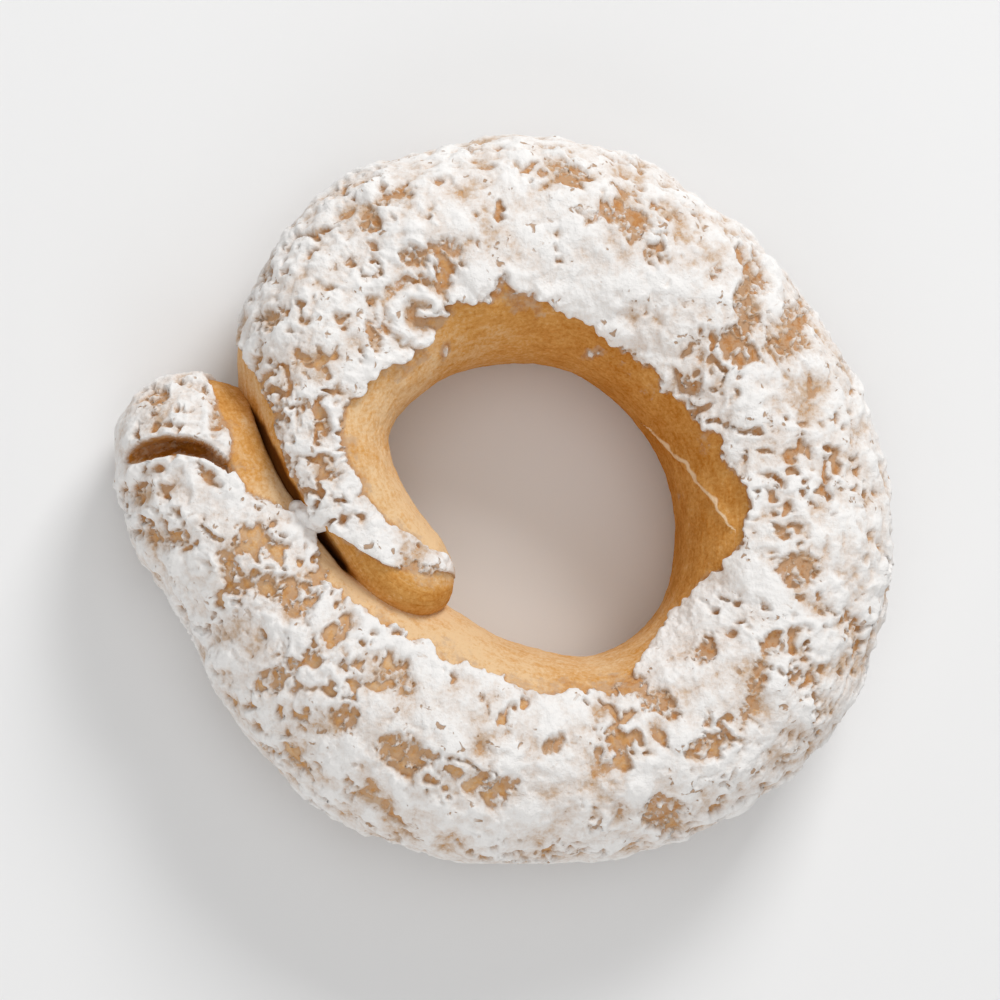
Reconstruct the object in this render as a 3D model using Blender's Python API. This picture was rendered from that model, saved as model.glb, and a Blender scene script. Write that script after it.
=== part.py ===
"""A glazed tarallo: one rope of baked dough bent into a ring, its two ends lapped and pressed together.

The ring lies flat on its tray side. +Z is up, and the origin is under the middle of its bounding box.
"""

import math

import bmesh
import bpy
import numpy as np

MM = 0.001
NODE = "tarallo"

# The ring's middle, about which the stations turn, from the origin.
RING_MIDDLE = (1.456, -0.127)

# The rope is measured at stations along its length, from the tip that lies inside the ring to the tip that
# lies outside it. Each row: turn about the ring's middle in degrees, anticlockwise from +X; then, in mm, the
# radius of the rope's centre line, its half width, its half height and the height of its centre; then how
# square its outer side is, 2 being an ellipse.
STATIONS = np.array(
    [
        (228.0, 10.4, 3.4, 4.6, 13.0, 3.4),
        (212.0, 12.6, 4.3, 5.6, 12.5, 3.4),
        (187.0, 15.2, 4.9, 6.8, 11.4, 3.0),
        (163.0, 19.4, 6.4, 7.9, 10.4, 2.4),
        (133.0, 22.0, 9.2, 9.0, 9.5, 2.1),
        (91.0, 22.4, 9.8, 9.3, 9.2, 2.1),
        (40.0, 21.8, 9.1, 9.1, 9.1, 2.1),
        (3.0, 23.1, 9.2, 9.2, 9.1, 2.1),
        (-33.0, 24.9, 9.1, 9.4, 9.3, 2.1),
        (-66.0, 24.0, 8.8, 9.2, 9.1, 2.1),
        (-100.0, 22.4, 9.7, 9.3, 9.2, 2.1),
        (-127.0, 22.3, 10.2, 9.2, 9.1, 2.1),
        (-145.0, 22.7, 9.3, 8.8, 8.7, 2.1),
        (-160.0, 23.7, 8.1, 8.4, 8.3, 2.1),
        (-180.0, 27.2, 7.9, 8.0, 7.9, 2.1),
        (-193.0, 29.5, 7.5, 7.4, 7.3, 2.1),
        (-200.0, 30.6, 6.9, 6.7, 6.8, 2.1),
    ]
)
INNER_TIP_LENGTH = 3.2
OUTER_TIP_LENGTH = 6.5
TIP_BLUNTNESS = 2.2
TIP_CROWDING = 0.33
LENGTH_SAMPLES = 2000
TIP_GAP = 0.02

# The cross-section is flatter towards the hole, where its widest point sits low.
HOLE_SIDE_POWER = 2.5
HOLE_SIDE_DROP = 1.0

# Relief: the rope's own unevenness, and the glaze with its lumps, which stops short of the hole's wall.
# Angles are turns about the rope, from its outer side.
ROPE_LUMP_SIZE = 9.0
ROPE_LUMP_HEIGHT = 0.55
GLAZE_THICKNESS = 0.45
GLAZE_LUMP_SIZE = 3.2
GLAZE_LUMP_HEIGHT = 0.45
GLAZE_EDGE_ANGLE = 128.0
GLAZE_EDGE_WANDER = 13.0
GLAZE_EDGE_WAVE = 7.0
GLAZE_EDGE_SOFTNESS = 5.0
FULL_RELIEF_HEIGHT = 5.0
NOISE_GAIN = 1.7

# Fineness of the faceted surface.
RINGS = 130
SIDES = 38

# The crack across the outer tip: an upright arc cut into its top, reaching down its outer side.
CRACK_CENTRE = (-31.9, -2.3)
CRACK_RADIUS = 6.1
CRACK_WIDTH = 1.5
CRACK_END_WIDTH = 0.4
CRACK_DEPTH = 2.6
CRACK_END_DEPTH = 0.8
CRACK_TOP = 15.2
CRACK_SIDE_DROP = 5.5
CRACK_TURNS = (40.0, 152.0)
CRACK_CLEARANCE = 4.0
CRACK_STEPS = 16

# The lump of glaze that bridges the seam between the two ends.
BRIDGE_CENTRE = (-19.6, -2.3, 14.6)
BRIDGE_RADII = (2.8, 2.1, 2.3)
BRIDGE_SUBDIVISIONS = 2

# White glaze over golden crust, as one mean colour.
GLAZED_CRUST_COLOUR = (0.84, 0.76, 0.68, 1.0)
GLAZED_CRUST_ROUGHNESS = 0.8
SHARP_EDGE = math.radians(50)


def clear_scene():
    for leftover in list(bpy.data.objects):
        bpy.data.objects.remove(leftover)


def smooth_through(at, values, x):
    """Cubic curve through (at, values), with the slope at each knot taken from its neighbours."""
    slopes = np.gradient(values, at)
    i = np.clip(np.searchsorted(at, x) - 1, 0, len(at) - 2)
    span = at[i + 1] - at[i]
    t = (x - at[i]) / span
    start = (2 * t**3 - 3 * t**2 + 1) * values[i] + (t**3 - 2 * t**2 + t) * span * slopes[i]
    end = (3 * t**2 - 2 * t**3) * values[i + 1] + (t**3 - t**2) * span * slopes[i + 1]
    return start + end


def corner_gradients(cell, seed):
    """A fixed random direction for each corner of a cubic grid, from its whole-number place and a seed."""
    mixed = cell @ np.array([374761393, 668265263, 1440662683]) + seed * 974634777
    mixed = (mixed ^ (mixed >> 13)) * 1274126177 & 0xFFFFFFFF
    turn = (mixed & 0xFFFF) / 65536 * 2 * math.pi
    rise = (mixed >> 16) / 65536 * 2 - 1
    flat = np.sqrt(1 - rise**2)
    return np.stack([flat * np.cos(turn), flat * np.sin(turn), rise], axis=-1)


def lumps(points, size, seed):
    """Smooth unevenness between about -1 and 1 whose bumps are `size` across: gradient noise in space."""
    scaled = points / size
    base = np.floor(scaled).astype(np.int64)
    inside = scaled - base
    fade = inside**3 * (inside * (inside * 6 - 15) + 10)
    total = np.zeros(points.shape[:-1])
    for corner in np.ndindex(2, 2, 2):
        offset = inside - corner
        slope = (corner_gradients(base + corner, seed) * offset).sum(-1)
        weight = np.prod(np.where(np.array(corner) == 1, fade, 1 - fade), axis=-1)
        total += weight * slope
    return total * NOISE_GAIN


def rope_stations(count):
    """The rope at `count` places along its length, closer together near both tips."""
    turns = np.linspace(STATIONS[0, 0], STATIONS[-1, 0], LENGTH_SAMPLES)
    radius, half_width, half_height, height, power = (
        smooth_through(-STATIONS[:, 0], column, -turns) for column in STATIONS[:, 1:].T
    )
    angle = np.radians(turns)
    line = np.stack([radius * np.cos(angle), radius * np.sin(angle), height], axis=-1)
    steps = np.linalg.norm(np.diff(line, axis=0), axis=1)
    length = np.concatenate([[0.0], np.cumsum(steps)])
    total = length[-1]
    share = np.linspace(0, 1, count)
    along = total * (share - TIP_CROWDING * np.sin(2 * math.pi * share) / (2 * math.pi))
    along = along.clip(TIP_GAP, total - TIP_GAP)
    line = np.stack([np.interp(along, length, axis) for axis in line.T], axis=-1)
    half_width, half_height, power = (
        np.interp(along, length, values) for values in (half_width, half_height, power)
    )
    direction = np.gradient(line[:, :2], axis=0)
    direction /= np.linalg.norm(direction, axis=1, keepdims=True)
    outward = np.stack([-direction[:, 1], direction[:, 0], np.zeros(count)], axis=-1)
    tip = np.minimum(along / INNER_TIP_LENGTH, (total - along) / OUTER_TIP_LENGTH).clip(0, 1)
    rounding = (1 - (1 - tip) ** TIP_BLUNTNESS) ** (1 / TIP_BLUNTNESS)
    return line, outward, half_width * rounding, half_height * rounding, power


def rope_surface(rings, sides):
    """Points of the glazed rope, rings by sides, in mm.

    Each section is a flattened oval, (w |cos|^(2/p), h |sin|^(2/p)), pushed out along its own radius by the
    lumps of the dough and, away from the hole, by the thickness and the lumps of the glaze.
    """
    line, outward, half_width, half_height, power = rope_stations(rings)
    around = np.linspace(0, 2 * math.pi, sides, endpoint=False)
    across, up = np.cos(around), np.sin(around)
    power = np.where(across > 0, power[:, None], HOLE_SIDE_POWER)
    across = np.sign(across) * np.abs(across) ** (2 / power)
    up = np.sign(up) * np.abs(up) ** (2 / power)
    fullness = np.minimum(1, half_height / FULL_RELIEF_HEIGHT)[:, None]
    low = HOLE_SIDE_DROP * fullness * across.clip(max=0) ** 2
    sideways, upright = outward[:, None], np.array([0.0, 0.0, 1.0])
    points = line[:, None] + (half_width[:, None] * across)[..., None] * sideways
    points = points + (half_height[:, None] * up - low)[..., None] * upright
    radial = across[..., None] * sideways + up[..., None] * upright
    radial /= np.linalg.norm(radial, axis=-1, keepdims=True)
    from_outside = np.degrees(np.minimum(around, 2 * math.pi - around))
    edge = GLAZE_EDGE_ANGLE + GLAZE_EDGE_WANDER * lumps(points, GLAZE_EDGE_WAVE, seed=5)
    glazed = 1 / (1 + np.exp((from_outside - edge) / GLAZE_EDGE_SOFTNESS))
    glaze = GLAZE_THICKNESS + GLAZE_LUMP_HEIGHT * lumps(points, GLAZE_LUMP_SIZE, seed=2)
    relief = ROPE_LUMP_HEIGHT * lumps(points, ROPE_LUMP_SIZE, seed=1) + glazed * glaze
    points = points + (relief * fullness)[..., None] * radial
    points[..., 2] = points[..., 2].clip(min=0)
    return points


def tube_faces(rings, sides):
    """Quads between neighbouring rings and a fan at each tip."""
    faces = []
    for ring in range(rings - 1):
        for side in range(sides):
            a = ring * sides + side
            b = ring * sides + (side + 1) % sides
            faces.append((a, b, b + sides, a + sides))
    first, last = rings * sides, rings * sides + 1
    end = (rings - 1) * sides
    for side in range(sides):
        following = (side + 1) % sides
        faces.append((first, following, side))
        faces.append((last, end + side, end + following))
    return faces


def new_object(name, points, faces):
    mesh = bpy.data.meshes.new(name)
    placed = (points + (*RING_MIDDLE, 0.0)) * MM
    mesh.from_pydata(placed.tolist(), [], faces)
    made = bpy.data.objects.new(name, mesh)
    bpy.context.scene.collection.objects.link(made)
    edit = bmesh.new()
    edit.from_mesh(mesh)
    bmesh.ops.recalc_face_normals(edit, faces=edit.faces)
    edit.to_mesh(mesh)
    edit.free()
    return made


def make_rope():
    points = rope_surface(RINGS, SIDES)
    tips = np.stack([points[0].mean(0), points[-1].mean(0)])
    return new_object(NODE, np.concatenate([points.reshape(-1, 3), tips]), tube_faces(RINGS, SIDES))


def make_bridge():
    """An egg-shaped lump of glaze sunk into the seam."""
    edit = bmesh.new()
    bmesh.ops.create_icosphere(edit, subdivisions=BRIDGE_SUBDIVISIONS, radius=1.0)
    points = np.array([vert.co for vert in edit.verts]) * BRIDGE_RADII + BRIDGE_CENTRE
    faces = [tuple(vert.index for vert in face.verts) for face in edit.faces]
    edit.free()
    return new_object("bridge_lump", points, faces)


def make_crack_cutter():
    """An upright blade, bent to an arc, that is thinner and shallower at its ends."""
    turn = np.radians(np.linspace(*CRACK_TURNS, CRACK_STEPS))
    share = np.linspace(0, 1, CRACK_STEPS)
    swell = np.sqrt(np.sin(share * math.pi).clip(min=0))
    half = (CRACK_END_WIDTH + (CRACK_WIDTH - CRACK_END_WIDTH) * swell) / 2
    depth = CRACK_END_DEPTH + (CRACK_DEPTH - CRACK_END_DEPTH) * swell
    bottom = CRACK_TOP - depth - CRACK_SIDE_DROP * share**2
    points = []
    for side in (-1, 1):
        radius = CRACK_RADIUS + side * half
        x = CRACK_CENTRE[0] + radius * np.cos(turn)
        y = CRACK_CENTRE[1] + radius * np.sin(turn)
        points.append(np.stack([x, y, bottom], axis=-1))
        points.append(np.stack([x, y, np.full(CRACK_STEPS, CRACK_TOP + CRACK_CLEARANCE)], axis=-1))
    inner_low, inner_high, outer_low, outer_high = (CRACK_STEPS * k for k in range(4))
    loop = (inner_low, inner_high, outer_high, outer_low)
    faces = [loop, tuple(k + CRACK_STEPS - 1 for k in reversed(loop))]
    for step in range(CRACK_STEPS - 1):
        for a, b in zip(loop, loop[1:] + loop[:1]):
            faces.append((a + step, b + step, b + step + 1, a + step + 1))
    return new_object("crack_blade", np.concatenate(points), faces)


def boolean(target, other, operation, within_itself=False):
    """Joins or cuts, applies the result to the target and removes the other object."""
    modifier = target.modifiers.new(operation.lower(), "BOOLEAN")
    modifier.operation = operation
    modifier.object = other
    modifier.use_self = within_itself
    bpy.context.view_layer.objects.active = target
    bpy.ops.object.modifier_apply(modifier=modifier.name)
    bpy.data.objects.remove(other)


def glazed_crust_material():
    material = bpy.data.materials.new("glazed_crust")
    material.use_nodes = True
    shader = material.node_tree.nodes["Principled BSDF"]
    shader.inputs["Base Color"].default_value = GLAZED_CRUST_COLOUR
    shader.inputs["Roughness"].default_value = GLAZED_CRUST_ROUGHNESS
    shader.inputs["Metallic"].default_value = 0.0
    return material


def main():
    clear_scene()
    tarallo = make_rope()
    boolean(tarallo, make_bridge(), "UNION", within_itself=True)
    boolean(tarallo, make_crack_cutter(), "DIFFERENCE")
    tarallo.data.materials.clear()
    tarallo.data.materials.append(glazed_crust_material())
    tarallo.data.shade_smooth()
    tarallo.data.set_sharp_from_angle(angle=SHARP_EDGE)


main()
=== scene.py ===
"""A glazed tarallo: a thick rope of baked dough, lapped into a ring, under a rough coat of dried glaze.

Shapes are worked out in millimetres about the ring's middle, and become metres when a mesh is made.
"""

import math

import bpy
import numpy as np
from mathutils import Matrix, Vector


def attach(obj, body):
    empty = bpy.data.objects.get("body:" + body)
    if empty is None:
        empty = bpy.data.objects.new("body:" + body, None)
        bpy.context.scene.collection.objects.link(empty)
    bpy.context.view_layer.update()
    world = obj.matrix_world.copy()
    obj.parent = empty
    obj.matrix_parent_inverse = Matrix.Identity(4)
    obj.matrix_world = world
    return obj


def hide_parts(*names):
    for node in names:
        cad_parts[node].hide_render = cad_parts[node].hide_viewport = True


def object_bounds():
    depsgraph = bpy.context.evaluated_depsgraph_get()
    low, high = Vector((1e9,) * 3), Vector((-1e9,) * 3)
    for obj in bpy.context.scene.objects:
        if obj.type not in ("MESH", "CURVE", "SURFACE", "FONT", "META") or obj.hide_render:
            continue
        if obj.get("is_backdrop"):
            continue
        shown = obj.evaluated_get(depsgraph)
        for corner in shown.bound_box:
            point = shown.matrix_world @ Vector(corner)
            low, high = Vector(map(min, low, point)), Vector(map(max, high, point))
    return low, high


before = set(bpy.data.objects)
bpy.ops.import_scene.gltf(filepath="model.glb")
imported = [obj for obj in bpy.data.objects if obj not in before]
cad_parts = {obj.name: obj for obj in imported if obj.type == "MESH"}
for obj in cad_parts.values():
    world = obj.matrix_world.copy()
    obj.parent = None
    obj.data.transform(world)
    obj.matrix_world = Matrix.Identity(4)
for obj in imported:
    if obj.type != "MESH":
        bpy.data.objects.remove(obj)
cad_low, cad_high = (np.array(corner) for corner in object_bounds())


# The crust
# One rope of plain biscuit dough, rolled by hand to about 18 mm and bent into a ring. Its two ends are
# lapped side by side and pressed together, the inner one as a slim thumb, and it is baked golden on a tray.

RING_MIDDLE = np.array([1.456, -0.127, 0.0])
# Stations along the rope, from its inner tip to its outer one: the turn about the ring's middle in degrees,
# anticlockwise from +X; in mm the radius of the rope's centre line, its half width, its half height and its
# centre's height; and how square its outer side is, 2 being an ellipse.
STATIONS = np.array(
    [
        (228.0, 10.4, 3.4, 4.6, 13.0, 3.4),
        (212.0, 12.6, 4.3, 5.6, 12.5, 3.4),
        (187.0, 15.2, 4.9, 6.8, 11.4, 3.0),
        (163.0, 19.4, 6.4, 7.9, 10.4, 2.4),
        (133.0, 22.0, 9.2, 9.0, 9.5, 2.1),
        (91.0, 22.4, 9.8, 9.3, 9.2, 2.1),
        (40.0, 21.8, 9.1, 9.1, 9.1, 2.1),
        (3.0, 23.1, 9.2, 9.2, 9.1, 2.1),
        (-33.0, 24.9, 9.1, 9.4, 9.3, 2.1),
        (-66.0, 24.0, 8.8, 9.2, 9.1, 2.1),
        (-100.0, 22.4, 9.7, 9.3, 9.2, 2.1),
        (-127.0, 22.3, 10.2, 9.2, 9.1, 2.1),
        (-145.0, 22.7, 9.3, 8.8, 8.7, 2.1),
        (-160.0, 23.7, 8.1, 8.4, 8.3, 2.1),
        (-180.0, 27.2, 7.9, 8.0, 7.9, 2.1),
        (-193.0, 29.5, 7.5, 7.4, 7.3, 2.1),
        (-200.0, 30.6, 6.9, 6.7, 6.8, 2.1),
    ]
)
TRACE_STEPS = 2000
ROPE_RADIUS = 9.2
INNER_TIP_LENGTH = 3.2
OUTER_TIP_LENGTH = 6.5
TIP_BLUNTNESS = 2.2
TIP_CROWDING = 0.33
HOLE_SIDE_POWER = 2.5
HOLE_SIDE_DROP = 1.0
ROPE_LUMP_SIZE = 9.0
ROPE_LUMP_HEIGHT = 0.55
FULL_RELIEF_HEIGHT = 5.0
CRUST_FLOOR = 0.12


def smooth_through(at, values, x):
    """Cubic curve through (at, values), with the slope at each knot taken from its neighbours."""
    slopes = np.gradient(values, at)
    i = np.clip(np.searchsorted(at, x) - 1, 0, len(at) - 2)
    span = at[i + 1] - at[i]
    t = (x - at[i]) / span
    start = (2 * t**3 - 3 * t**2 + 1) * values[i] + (t**3 - 2 * t**2 + t) * span * slopes[i]
    end = (3 * t**2 - 2 * t**3) * values[i + 1] + (t**3 - t**2) * span * slopes[i + 1]
    return start + end


def ease(low, high, x):
    """0 below low, 1 above high, and 3t^2 - 2t^3 between them. With low above high it falls instead."""
    t = np.clip((x - low) / (high - low), 0, 1)
    return t * t * (3 - 2 * t)


def mixed_bits(cell, seed):
    """A scrambled 32-bit number for each whole-number place in space, from products, sums and shifts."""
    mixed = cell @ np.array([374761393, 668265263, 1440662683]) + seed * 974634777
    return (mixed ^ (mixed >> 13)) * 1274126177 & 0xFFFFFFFF


def corner_gradients(cell, seed):
    """A fixed random direction for each corner of a cubic grid: 16 bits turn it and 16 bits raise it."""
    mixed = mixed_bits(cell, seed)
    turn = (mixed & 0xFFFF) / 65536 * 2 * math.pi
    rise = (mixed >> 16) / 65536 * 2 - 1
    flat = np.sqrt(1 - rise**2)
    return np.stack([flat * np.cos(turn), flat * np.sin(turn), rise], axis=-1)


def lumps(points, size, seed):
    """Smooth unevenness between about -1 and 1 whose bumps are `size` across.

    Gradient noise: at each point the eight corners of its cell give the dot product of their direction
    with the way to the point, and these are blended by 6t^5 - 15t^4 + 10t^3.
    """
    scaled = points / size
    base = np.floor(scaled).astype(np.int64)
    inside = scaled - base
    fade = inside**3 * (inside * (inside * 6 - 15) + 10)
    total = np.zeros(points.shape[:-1])
    for corner in np.ndindex(2, 2, 2):
        offset = inside - corner
        slope = (corner_gradients(base + corner, seed) * offset).sum(-1)
        weight = np.prod(np.where(np.array(corner) == 1, fade, 1 - fade), axis=-1)
        total += weight * slope
    return total * 1.7


def rope_line(count):
    """The rope at `count` places along its length, closer together near both tips.

    Gives the centre line, the direction outwards from it, the half width and half height (rounded off at
    the tips by (1 - (1 - t)^b)^(1/b)), the outer side's power, the turn in degrees and the length so far.
    """
    turns = np.linspace(STATIONS[0, 0], STATIONS[-1, 0], TRACE_STEPS)
    radius, half_width, half_height, height, power = (
        smooth_through(-STATIONS[:, 0], column, -turns) for column in STATIONS[:, 1:].T
    )
    angle = np.radians(turns)
    line = np.stack([radius * np.cos(angle), radius * np.sin(angle), height], axis=-1)
    steps = np.linalg.norm(np.diff(line, axis=0), axis=1)
    length = np.concatenate([[0.0], np.cumsum(steps)])
    total = length[-1]
    share = np.linspace(0, 1, count)
    along = total * (share - TIP_CROWDING * np.sin(2 * math.pi * share) / (2 * math.pi))
    along = along.clip(0.02, total - 0.02)
    line = np.stack([np.interp(along, length, axis) for axis in line.T], axis=-1)
    half_width, half_height, power, turns = (
        np.interp(along, length, values) for values in (half_width, half_height, power, turns)
    )
    direction = np.gradient(line[:, :2], axis=0)
    direction /= np.linalg.norm(direction, axis=1, keepdims=True)
    outward = np.stack([-direction[:, 1], direction[:, 0], np.zeros(count)], axis=-1)
    tip = np.minimum(along / INNER_TIP_LENGTH, (total - along) / OUTER_TIP_LENGTH).clip(0, 1)
    rounding = (1 - (1 - tip) ** TIP_BLUNTNESS) ** (1 / TIP_BLUNTNESS)
    return line, outward, half_width * rounding, half_height * rounding, power, turns, along


def section_angles(runs):
    """Angles round the rope, from its outer side up over the top, as runs of (first, last, count)."""
    return np.concatenate([np.linspace(a, b, n, endpoint=False) for a, b, n in runs])


def rope_skin(rings, angles):
    """The bare rope as a grid of rings by angles.

    Gives its points, its outward normals, the turn, the length so far and how full its relief is. Each
    section is a flattened oval, (w |cos|^(2/p), h |sin|^(2/p)), that sags on the hole's side. The normal is
    the cross product of the grid's two directions, and the relief fades where the rope is low.
    """
    line, outward, half_width, half_height, power, turns, along = rope_line(rings)
    around = np.radians(angles)
    across, up = np.cos(around), np.sin(around)
    power = np.where(across > 0, power[:, None], HOLE_SIDE_POWER)
    across = np.sign(across) * np.abs(across) ** (2 / power)
    up = np.sign(up) * np.abs(up) ** (2 / power)
    fullness = np.minimum(1, half_height / FULL_RELIEF_HEIGHT)[:, None]
    low = HOLE_SIDE_DROP * fullness * across.clip(max=0) ** 2
    points = line[:, None] + (half_width[:, None] * across)[..., None] * outward[:, None]
    points = points + (half_height[:, None] * up - low)[..., None] * np.array([0.0, 0.0, 1.0])
    lengthwise = np.gradient(points, axis=0)
    wrapped = np.concatenate([points[:, -1:], points, points[:, :1]], axis=1)
    sectionwise = wrapped[:, 2:] - wrapped[:, :-2]
    normals = np.cross(sectionwise, lengthwise)
    normals /= np.linalg.norm(normals, axis=-1, keepdims=True) + 1e-12
    return points, normals, turns[:, None] + 0 * angles, along[:, None] + 0 * angles, fullness


# The crack is an upright arc in the outer end's side, between two bearings about its own centre.
OUTER_END_TURN = -170
CRACK_CENTRE = (-31.9, -2.3)
CRACK_RADIUS = 6.1
CRACK_WIDTH = 1.5
CRACK_END_WIDTH = 0.4
CRACK_DEPTH = 2.6
CRACK_END_DEPTH = 0.8
CRACK_TOP = 15.2
CRACK_SIDE_DROP = 5.5
CRACK_BEARINGS = (36.0, 152.0)
CRACK_RIM = 0.4
CRACK_SOFTNESS = 0.22


def cut_crack(points, turn):
    """Lowers the points inside the crack to its floor, and tells how deep each is and how near its lip.

    Its half width and depth swell as a half sine wave from its thin end, and as the square root of one to
    its blunt end. Its floor is deepest under the outer edge and rises to the inner one, beside which the
    lip runs as a bell curve.
    """
    ragged = 0.16 * lumps(points, 1.6, 61)
    x, y = points[..., 0] - CRACK_CENTRE[0], points[..., 1] - CRACK_CENTRE[1]
    reach = np.hypot(x, y) - CRACK_RADIUS + ragged
    first, last = CRACK_BEARINGS
    share = (np.degrees(np.arctan2(y, x)) - first) / (last - first)
    swell = np.sin(share.clip(0, 1) * math.pi).clip(min=0) ** np.where(share < 0.5, 1.0, 0.5)
    half = (CRACK_END_WIDTH + (CRACK_WIDTH - CRACK_END_WIDTH) * swell) / 2
    depth = CRACK_END_DEPTH + (CRACK_DEPTH - CRACK_END_DEPTH) * swell
    depth = depth * (0.4 + 0.6 * ease(-half, 0.4 * half, reach))
    floor = CRACK_TOP - depth - CRACK_SIDE_DROP * share**2
    on_outer_end = turn < OUTER_END_TURN
    inside = ease(half + CRACK_SOFTNESS, half - CRACK_SOFTNESS, np.abs(reach)) * (swell > 0) * on_outer_end
    drop = (floor - points[..., 2]).clip(max=0) * inside
    cut = points.copy()
    cut[..., 2] += drop
    rim = swell * on_outer_end * np.exp(-(((reach + half + CRACK_RIM) / CRACK_RIM) ** 2))
    return cut, -drop, rim


SEAM_TURNS = np.linspace(152, 212, 61)
SEAM_DEPTH = 1.5
SEAM_HALF_WIDTH = 0.26
SEAM_BRIDGE = 186.0


def top_height(turns, radii):
    """How high the rope's top stands at these turns (down) and distances from the ring's middle (across)."""
    middle, half_width, half_height, height, power = (
        smooth_through(-STATIONS[:, 0], column, -turns)[:, None] for column in STATIONS[:, 1:].T
    )
    across = (radii - middle) / half_width
    power = np.where(across > 0, power, HOLE_SIDE_POWER)
    up = (1 - np.abs(across).clip(max=1) ** power) ** (1 / power)
    top = height + half_height * up - HOLE_SIDE_DROP * across.clip(max=0) ** 2
    return np.where(np.abs(across) < 1, top, -9.0)


def seam_line():
    """Where the two lapped ends meet: at each of SEAM_TURNS, how far out their tops cross."""
    radii = np.linspace(13, 29, 641)
    inner = top_height(SEAM_TURNS, radii)
    outer = top_height(SEAM_TURNS - 360, radii)
    return radii[np.argmax(outer > inner, axis=1)]


SEAM_RADII = seam_line()


def press_seam(points, rope_turn):
    """Sinks both ends along the line where they meet, as a narrow crevice with the fall of a bell curve.

    Tells how far each point is sunk, and how far it lies from the crevice, with more added where that fades
    out: at both ends of the lap, down the side, and at SEAM_BRIDGE, where glaze bridges it. Each end stays
    sunk beyond that line, inside the other.
    """
    turn = np.degrees(np.arctan2(points[..., 1], points[..., 0])) % 360
    away = np.hypot(points[..., 0], points[..., 1]) - np.interp(turn, SEAM_TURNS, SEAM_RADII)
    away = away * np.where(rope_turn < 0, 1, -1) + 0.12 * lumps(points, 1.8, 63)
    share = ease(157, 168, turn) * ease(209, 200, turn) * ease(6, 8, points[..., 2])
    share = share * (np.abs(rope_turn) > 140)
    share = share * (1 - 0.9 * np.exp(-(((turn - SEAM_BRIDGE) / 1.8) ** 2)))
    sunk = SEAM_DEPTH * share * np.exp(-((away.clip(min=0) / SEAM_HALF_WIDTH) ** 2))
    pressed = points.copy()
    pressed[..., 2] -= sunk
    return pressed, sunk, away.clip(min=-0.3) + 1.2 * (1 - share)


# The fold in the hole's wall: turn and section angle in degrees.
FOLD = np.array([(38.0, 179.0), (31.0, 169.0), (22.0, 160.0), (11.0, 147.0), (-1.0, 133.0), (-8.0, 123.0)])
FOLD_MM_PER_DEGREE = 0.12
FOLD_RIDGE = 0.28
FOLD_RIDGE_HALF_WIDTH = 0.3


def fold_distance(turn, angle):
    """Signed distance in mm from the fold, up to 9 either way, which grows quickly past its two ends."""
    centre = np.interp(-turn, -FOLD[:, 0], FOLD[:, 1])
    away = (angle - centre) * FOLD_MM_PER_DEGREE
    ends = ease(-9, -5, turn) * ease(37, 28, turn)
    return (away / ends.clip(min=0.02)).clip(-9, 9)


def crust_points(points, normals, turn, angle, fullness):
    """The baked surface: the rope moved out by lumps and the fold's ridge, then cut by crack and seam.

    Along its normals go slow lumps, faint fine ones and a bell curve about the fold. None of it lies lower
    than CRUST_FLOOR. Tells how deep the crack and the seam are, how near the crack's lip is, and how far
    the seam is.
    """
    relief = ROPE_LUMP_HEIGHT * lumps(points, ROPE_LUMP_SIZE, 1) * fullness
    relief = relief + 0.06 * lumps(points, 1.3, 31) + 0.04 * lumps(points, 0.6, 32)
    ridge = np.exp(-((fold_distance(turn, angle) / FOLD_RIDGE_HALF_WIDTH) ** 2))
    relief = relief + FOLD_RIDGE * ridge
    baked = points + relief[..., None] * normals
    baked, crack, rim = cut_crack(baked, turn)
    baked, seam, gap = press_seam(baked, turn)
    baked[..., 2] = baked[..., 2].clip(min=CRUST_FLOOR)
    return baked, crack + seam, rim, gap


# How thickly the glaze lies over the dough is worked out here, because the dough's colour follows it too.
GLAZE_THICKNESS = 0.44
GLAZE_LUMP_SIZE = 3.2
GLAZE_LUMP_HEIGHT = 0.36
HIGHEST_GLAZE = 1.15
SPARSEST_COAT = -0.5
BAREST_CRUST = -1.2
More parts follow.
